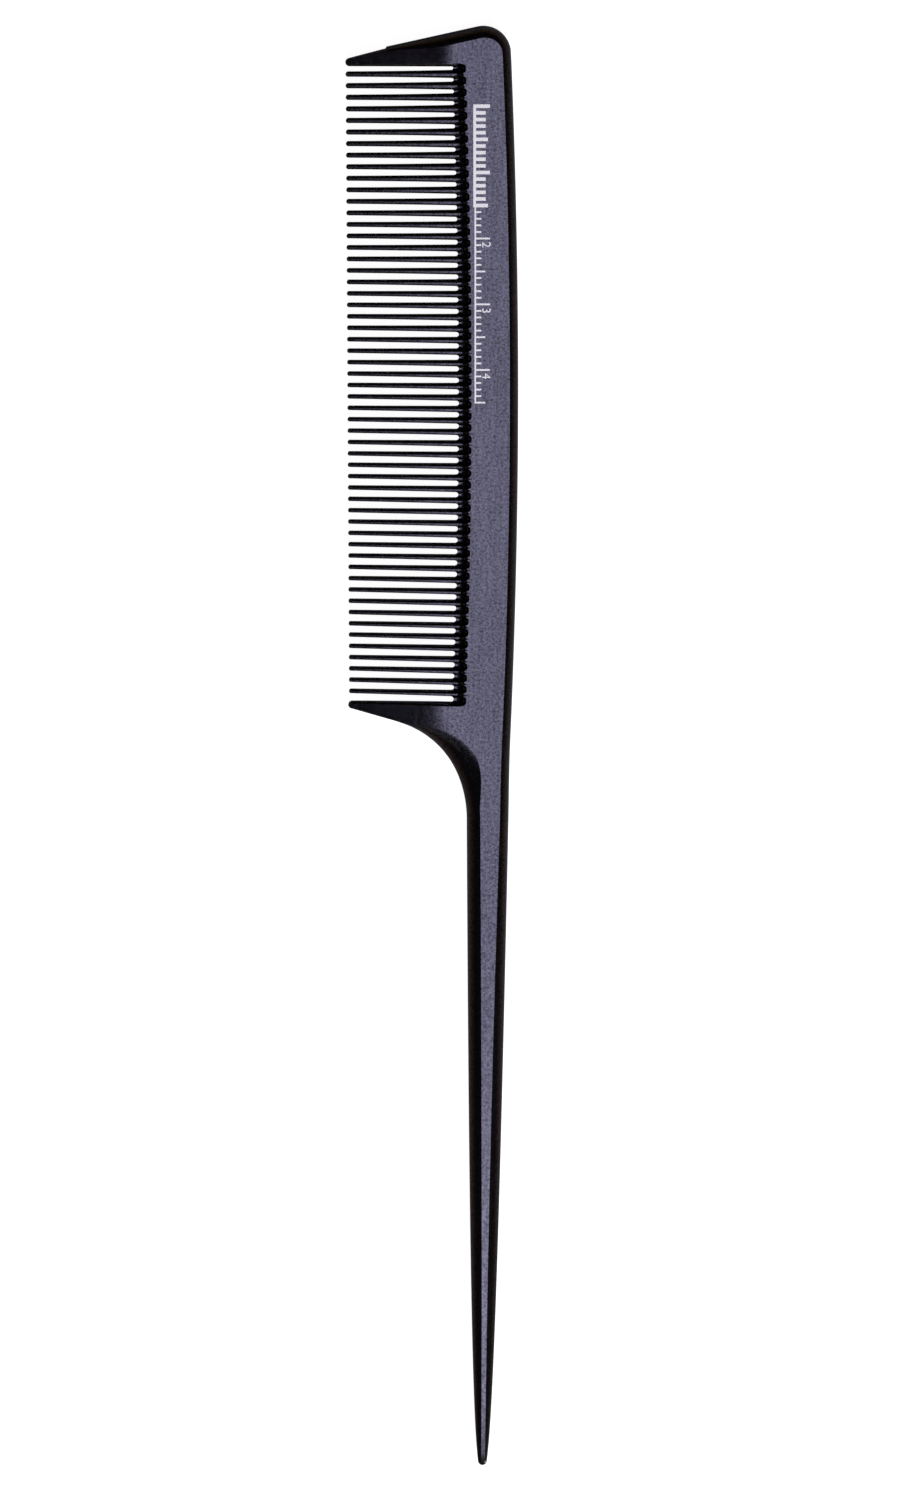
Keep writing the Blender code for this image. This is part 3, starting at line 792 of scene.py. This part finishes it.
def figureMesh(text, spot, along, across):
    # A figure from the built-in face, as a mesh, standing on the scale with its head towards the back.
    curve = bpy.data.curves.new("figure" + text, "FONT")
    curve.body = text
    curve.align_x = "CENTER"
    curve.size = scale["figure"] * mm / scale["figureShare"]
    curve.extrude = (scale["ink"] + scale["sunk"]) / 2 * mm
    curve.resolution_u = 3
    holder = bpy.data.objects.new("figureHolder", curve)
    bpy.context.scene.collection.objects.link(holder)
    mesh = bpy.data.meshes.new_from_object(holder.evaluated_get(bpy.context.evaluated_depsgraph_get()))
    height = (midZ + halfThick + (scale["ink"] - scale["sunk"]) / 2) * mm
    turn = Matrix((
        (along[0], across[0], 0.0, spot[0] * mm),
        (along[1], across[1], 0.0, spot[1] * mm),
        (0.0, 0.0, 1.0, height),
        (0.0, 0.0, 0.0, 1.0),
    ))
    mesh.transform(turn)
    bpy.data.objects.remove(holder)
    bpy.data.curves.remove(curve)
    return mesh


# ---- materials ----

class Wire:
    # Wraps a shader socket, so that masks can be added and multiplied like numbers.
    def __init__(self, finish, socket):
        self.finish = finish
        self.socket = socket

    def maths(self, operation, first, second):
        return self.finish.node("ShaderNodeMath", dict(operation=operation), {0: first, 1: second}, 0)

    def __add__(self, other):
        return self.maths("ADD", self, other)

    def __radd__(self, other):
        return self.maths("ADD", other, self)

    def __sub__(self, other):
        return self.maths("SUBTRACT", self, other)

    def __rsub__(self, other):
        return self.maths("SUBTRACT", other, self)

    def __mul__(self, other):
        return self.maths("MULTIPLY", self, other)

    def __rmul__(self, other):
        return self.maths("MULTIPLY", other, self)


def opaque(colour):
    return colour if isinstance(colour, Wire) else (*colour, 1.0)


class Finish:
    # The nodes of a material or a world. One method makes any node: its type, its settings, the values or wires
    # of its sockets, and the socket that it gives.
    def __init__(self, owner):
        self.owner = owner
        owner.use_nodes = True
        self.tree = owner.node_tree
        self.tree.nodes.clear()

    def node(self, kind, settings, inputs, output=0):
        made = self.tree.nodes.new(kind)
        for name, value in settings.items():
            if name == "stops":
                ramp = made.color_ramp
                for place, colour in value[len(ramp.elements):]:
                    ramp.elements.new(place)
                for element, (place, colour) in zip(ramp.elements, value):
                    element.position = place
                    element.color = opaque(colour)
            else:
                setattr(made, name, value)
        for name, value in inputs.items():
            if isinstance(value, Wire):
                self.tree.links.new(value.socket, made.inputs[name])
            else:
                made.inputs[name].default_value = value
        return Wire(self, made.outputs[output]) if made.outputs else made

    def place(self, stretch=(1.0, 1.0, 1.0)):
        # the piece's own coordinates, in metres, stretched by these factors
        own = self.node("ShaderNodeTexCoord", {}, {}, "Object")
        return self.node("ShaderNodeMapping", {}, {"Vector": own, "Scale": stretch}, "Vector")

    def noise(self, size, detail=2.0, stretch=(1.0, 1.0, 1.0), roughness=0.5):
        # noise between 0 and 1, with blobs of about this size in millimetres
        return self.node("ShaderNodeTexNoise", {}, {
            "Vector": self.place(stretch), "Scale": 1.0 / (size * mm), "Detail": detail, "Roughness": roughness,
        }, "Fac")

    def ramp(self, value, low, high):
        # 0 below low, 1 above high
        inputs = {"Value": value, "From Min": low, "From Max": high}
        return self.node("ShaderNodeMapRange", dict(interpolation_type="SMOOTHSTEP"), inputs, "Result")

    def blend(self, share, first, second):
        # mixes two colours
        inputs = {0: share, 6: opaque(first), 7: opaque(second)}
        return self.node("ShaderNodeMix", dict(data_type="RGBA"), inputs, 2)

    def bump(self, height, depth, strength=1.0):
        # turns a height from 0 to 1 into a normal, for a relief this many millimetres deep
        inputs = {"Strength": strength, "Distance": depth * mm, "Height": height}
        return self.node("ShaderNodeBump", {}, inputs, "Normal")

    def surface(self, shader, output="ShaderNodeOutputMaterial"):
        self.node(output, {}, {"Surface": shader})
        return self.owner


resin = dict(
    black=(0.0022, 0.0018, 0.0021), bloom=(0.008, 0.0072, 0.010), bloomGrain=0.35, bloomCloud=0.30,
    grainSize=0.19, fineSize=0.09, cloudSize=3.5, streakSize=0.35, streakStretch=(1.0, 0.06, 1.0),
    speck=(0.030, 0.030, 0.036), speckSize=0.30, speckFrom=0.70, speckTo=0.78, speckShare=0.35,
    fleckSize=0.40, fleck=0.26, fleckContrast=1.8, fleckStreak=0.15, fleckFrom=-0.15,
    roughness=0.16, roughGrain=0.24, roughStreak=0.12, roughCloud=0.06,
    grainDepth=0.0030, fineDepth=0.35, streakDepth=0.25,  # the grain's in mm, the others as shares of it
)


def resinMaterial():
    # Near black, with a faint bloom and small pale specks. The dull flecks use Metallic to mirror less light.
    finish = Finish(bpy.data.materials.new("carbonResin"))
    grain = finish.noise(resin["grainSize"], 2.0)
    fine = finish.noise(resin["fineSize"], 1.0)
    cloud = finish.noise(resin["cloudSize"], 3.0)
    streak = finish.noise(resin["streakSize"], 3.0, resin["streakStretch"])
    fleck = finish.noise(resin["fleckSize"], 2.5, roughness=0.6)
    fleck = resin["fleck"] + resin["fleckContrast"] * (fleck - 0.5) + resin["fleckStreak"] * (streak - 0.5)
    dull = finish.ramp(fleck, resin["fleckFrom"], 1.0)
    specks = finish.ramp(
        finish.noise(resin["speckSize"], 1.0, roughness=0.3), resin["speckFrom"], resin["speckTo"],
    )
    bloom = resin["bloomGrain"] * grain + resin["bloomCloud"] * cloud
    colour = finish.blend(bloom, resin["black"], resin["bloom"])
    colour = finish.blend(resin["speckShare"] * specks, colour, resin["speck"])
    roughness = resin["roughness"] + resin["roughGrain"] * (grain - 0.5)
    roughness = roughness + resin["roughStreak"] * (streak - 0.5) + resin["roughCloud"] * (cloud - 0.5)
    relief = finish.bump(grain + resin["fineDepth"] * fine + resin["streakDepth"] * streak, resin["grainDepth"])
    return finish.surface(finish.node("ShaderNodeBsdfPrincipled", {}, {
        "Base Color": colour, "Roughness": roughness, "Metallic": dull, "Normal": relief, "IOR": 1.5,
    }))


ink = dict(
    white=(0.93, 0.93, 0.96), worn=(0.55, 0.55, 0.60), wornSize=0.5, wornFrom=0.60, wornTo=0.75, wornShare=0.25,
    roughness=0.42, roughGrain=0.12, grainSize=0.12, grainDepth=0.004, grainStrength=0.6,
)


def inkMaterial():
    finish = Finish(bpy.data.materials.new("whiteInk"))
    grain = finish.noise(ink["grainSize"], 2.0)
    thin = finish.ramp(finish.noise(ink["wornSize"], 2.0), ink["wornFrom"], ink["wornTo"])
    return finish.surface(finish.node("ShaderNodeBsdfPrincipled", {}, {
        "Base Color": finish.blend(ink["wornShare"] * thin, ink["white"], ink["worn"]),
        "Roughness": ink["roughness"] + ink["roughGrain"] * grain,
        "Normal": finish.bump(grain, ink["grainDepth"], ink["grainStrength"]),
    }))


# ---- studio ----

studio = dict(
    centre=(3.50, 1.38), distance=960.0, tilt=9.6, roll=0.0105, lens=149.57,
    horizon=(0.42, 0.22, 0.12), zenith=(0.003, 0.003, 0.003), ground=(0.08, 0.065, 0.05),
    overhead=0.80,  # the share of the way from the lowest point of the sky to the highest where it turns dark
    floorGlow=0.96, floorPaint=0.35, floorSize=8.0, farClip=100.0,  # the last two in metres
)
# Lamps: where each stands from the comb (mm), its width and length, its colour, and how bright its face is.
lamps = {
    "softBox": dict(spot=(0.0, -166.8, 986.0), size=(118.0, 600.0), colour=(0.68, 0.66, 0.985), glow=7.9),
    "tailPanel": dict(spot=(0.0, -430.0, 900.0), size=(118.0, 280.0), colour=(0.75, 0.73, 0.98), glow=4.4),
    "slopePanel": dict(spot=(0.0, -850.0, 850.0), size=(900.0, 750.0), colour=(0.95, 0.97, 1.0), glow=0.35),
    "keyBox": dict(spot=(700.0, -1300.0, 880.0), size=(500.0, 500.0), colour=(1.0, 1.0, 1.0), glow=47.0),
}


def cameraAxes():
    # right, up and back of a camera tilted towards the head, then rolled about its own line of sight
    tilt = np.radians(studio["tilt"])
    right, up = np.array([1.0, 0.0, 0.0]), np.array([0.0, np.cos(tilt), -np.sin(tilt)])
    cos, sin = np.cos(studio["roll"]), np.sin(studio["roll"])
    return right * cos + up * sin, up * cos - right * sin, np.cross(right, up)


def makeCamera():
    right, up, away = cameraAxes()
    data = bpy.data.cameras.new("studioCamera")
    data.lens = studio["lens"]
    data.clip_end = studio["farClip"]
    camera = bpy.data.objects.new("studioCamera", data)
    bpy.context.scene.collection.objects.link(camera)
    target = np.array([*studio["centre"], midZ])
    spot = (target + away * studio["distance"]) * mm
    axes = Matrix(np.stack([right, up, away], axis=-1).tolist()).to_4x4()
    camera.matrix_world = Matrix.Translation(Vector(spot)) @ axes
    bpy.context.scene.camera = camera


def makeLamp(name, lamp):
    # a rectangular soft box that faces the comb; its power is pi times its area times its brightness
    target = np.array([*studio["centre"], midZ])
    away = unit(np.array(lamp["spot"]))
    right = unit(np.cross((0.0, 1.0, 0.0), away))
    width, length = lamp["size"]
    data = bpy.data.lights.new(name, "AREA")
    data.shape = "RECTANGLE"
    data.size, data.size_y = width * mm, length * mm
    data.color = lamp["colour"]
    data.energy = np.pi * width * mm * length * mm * lamp["glow"]
    made = bpy.data.objects.new(name, data)
    bpy.context.scene.collection.objects.link(made)
    axes = Matrix(np.stack([right, np.cross(away, right), away], axis=-1).tolist()).to_4x4()
    made.matrix_world = Matrix.Translation(Vector((target + np.array(lamp["spot"])) * mm)) @ axes
    made.visible_camera = False


white = (1.0, 1.0, 1.0)


def makeWorld():
    # Dark overhead, a dim warm band at the horizon, and dimmer below it. The backdrop seen directly is white.
    finish = Finish(bpy.data.worlds.new("studioRoom"))
    direction = finish.node("ShaderNodeTexCoord", {}, {}, "Generated")
    upward = finish.node("ShaderNodeSeparateXYZ", {}, {0: direction}, "Z")
    share = finish.node("ShaderNodeMapRange", {}, {"Value": upward, "From Min": -1.0}, "Result")
    stops = [
        (0.0, studio["ground"]), (0.5, studio["horizon"]), (studio["overhead"], studio["zenith"]),
        (1.0, studio["zenith"]),
    ]
    colour = finish.node("ShaderNodeValToRGB", dict(stops=stops), {"Fac": share}, "Color")
    sky = finish.node("ShaderNodeBackground", {}, {"Color": colour})
    backdrop = finish.node("ShaderNodeBackground", {}, {"Color": opaque(white)})
    seen = finish.node("ShaderNodeLightPath", {}, {}, "Is Camera Ray")
    choice = finish.node("ShaderNodeMixShader", {}, {0: seen, 1: sky, 2: backdrop})
    bpy.context.scene.world = finish.surface(choice, "ShaderNodeOutputWorld")


def makeFloor():
    # a pale light table: it glows evenly, and takes a faint shadow
    size = studio["floorSize"]
    mesh = bpy.data.meshes.new("paleFloor")
    corners = np.array([[-size, -size, 0.0], [size, -size, 0.0], [size, size, 0.0], [-size, size, 0.0]])
    mesh.from_pydata(corners, [], [(0, 1, 2, 3)])
    floor = bpy.data.objects.new("paleFloor", mesh)
    bpy.context.scene.collection.objects.link(floor)
    finish = Finish(bpy.data.materials.new("paleFloor"))
    seen = finish.node("ShaderNodeLightPath", {}, {}, "Is Camera Ray")
    glow = finish.node("ShaderNodeEmission", {}, {"Color": opaque(white), "Strength": studio["floorGlow"]})
    paint = finish.node("ShaderNodeBsdfDiffuse", {}, {"Color": opaque((studio["floorPaint"],) * 3)})
    both = finish.node("ShaderNodeAddShader", {}, {0: glow, 1: paint})
    mesh.materials.append(finish.surface(finish.node("ShaderNodeMixShader", {}, {0: seen, 1: paint, 2: both})))


# ---- assembly ----

makeCamera()
for name, lamp in lamps.items():
    makeLamp(name, lamp)
makeWorld()
makeFloor()
bpy.context.scene.view_settings.view_transform = "Standard"
print("studio ready")

pieces = {"spine": makeSpine(), "shoulder": makeShoulder(), "tail": makeTail()}
pieces["head_guard"] = makeGuard(
    "headGuardArm", headGuard, headGuardTipX, 0, frameLine[0][0], *headGuardOuter(), 1.0,
)
heelOuter = [values[:heelSplit + 1][::-1] for values in (heelPath, heelInward, heelWidth, heelCrease)]
pieces["heel_guard"] = makeGuard(
    "heelGuardArm", heelGuard, heelGuardTipX, -1, frameLine[-1][-1], *heelOuter, -1.0,
)
print("body made")

for number, name in enumerate(toothNames):
    pieces[name] = makeTooth(number)
print("teeth made:", toothCount)

resinFinish = resinMaterial()
for node, piece in pieces.items():
    piece.data.materials.append(resinFinish)
    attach(piece, "root")
    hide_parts(node)

printed = makeScale()
printed.data.materials.append(inkMaterial())
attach(printed, "root")
print("finishes on, faces:", sum(len(piece.data.polygons) for piece in pieces.values()))
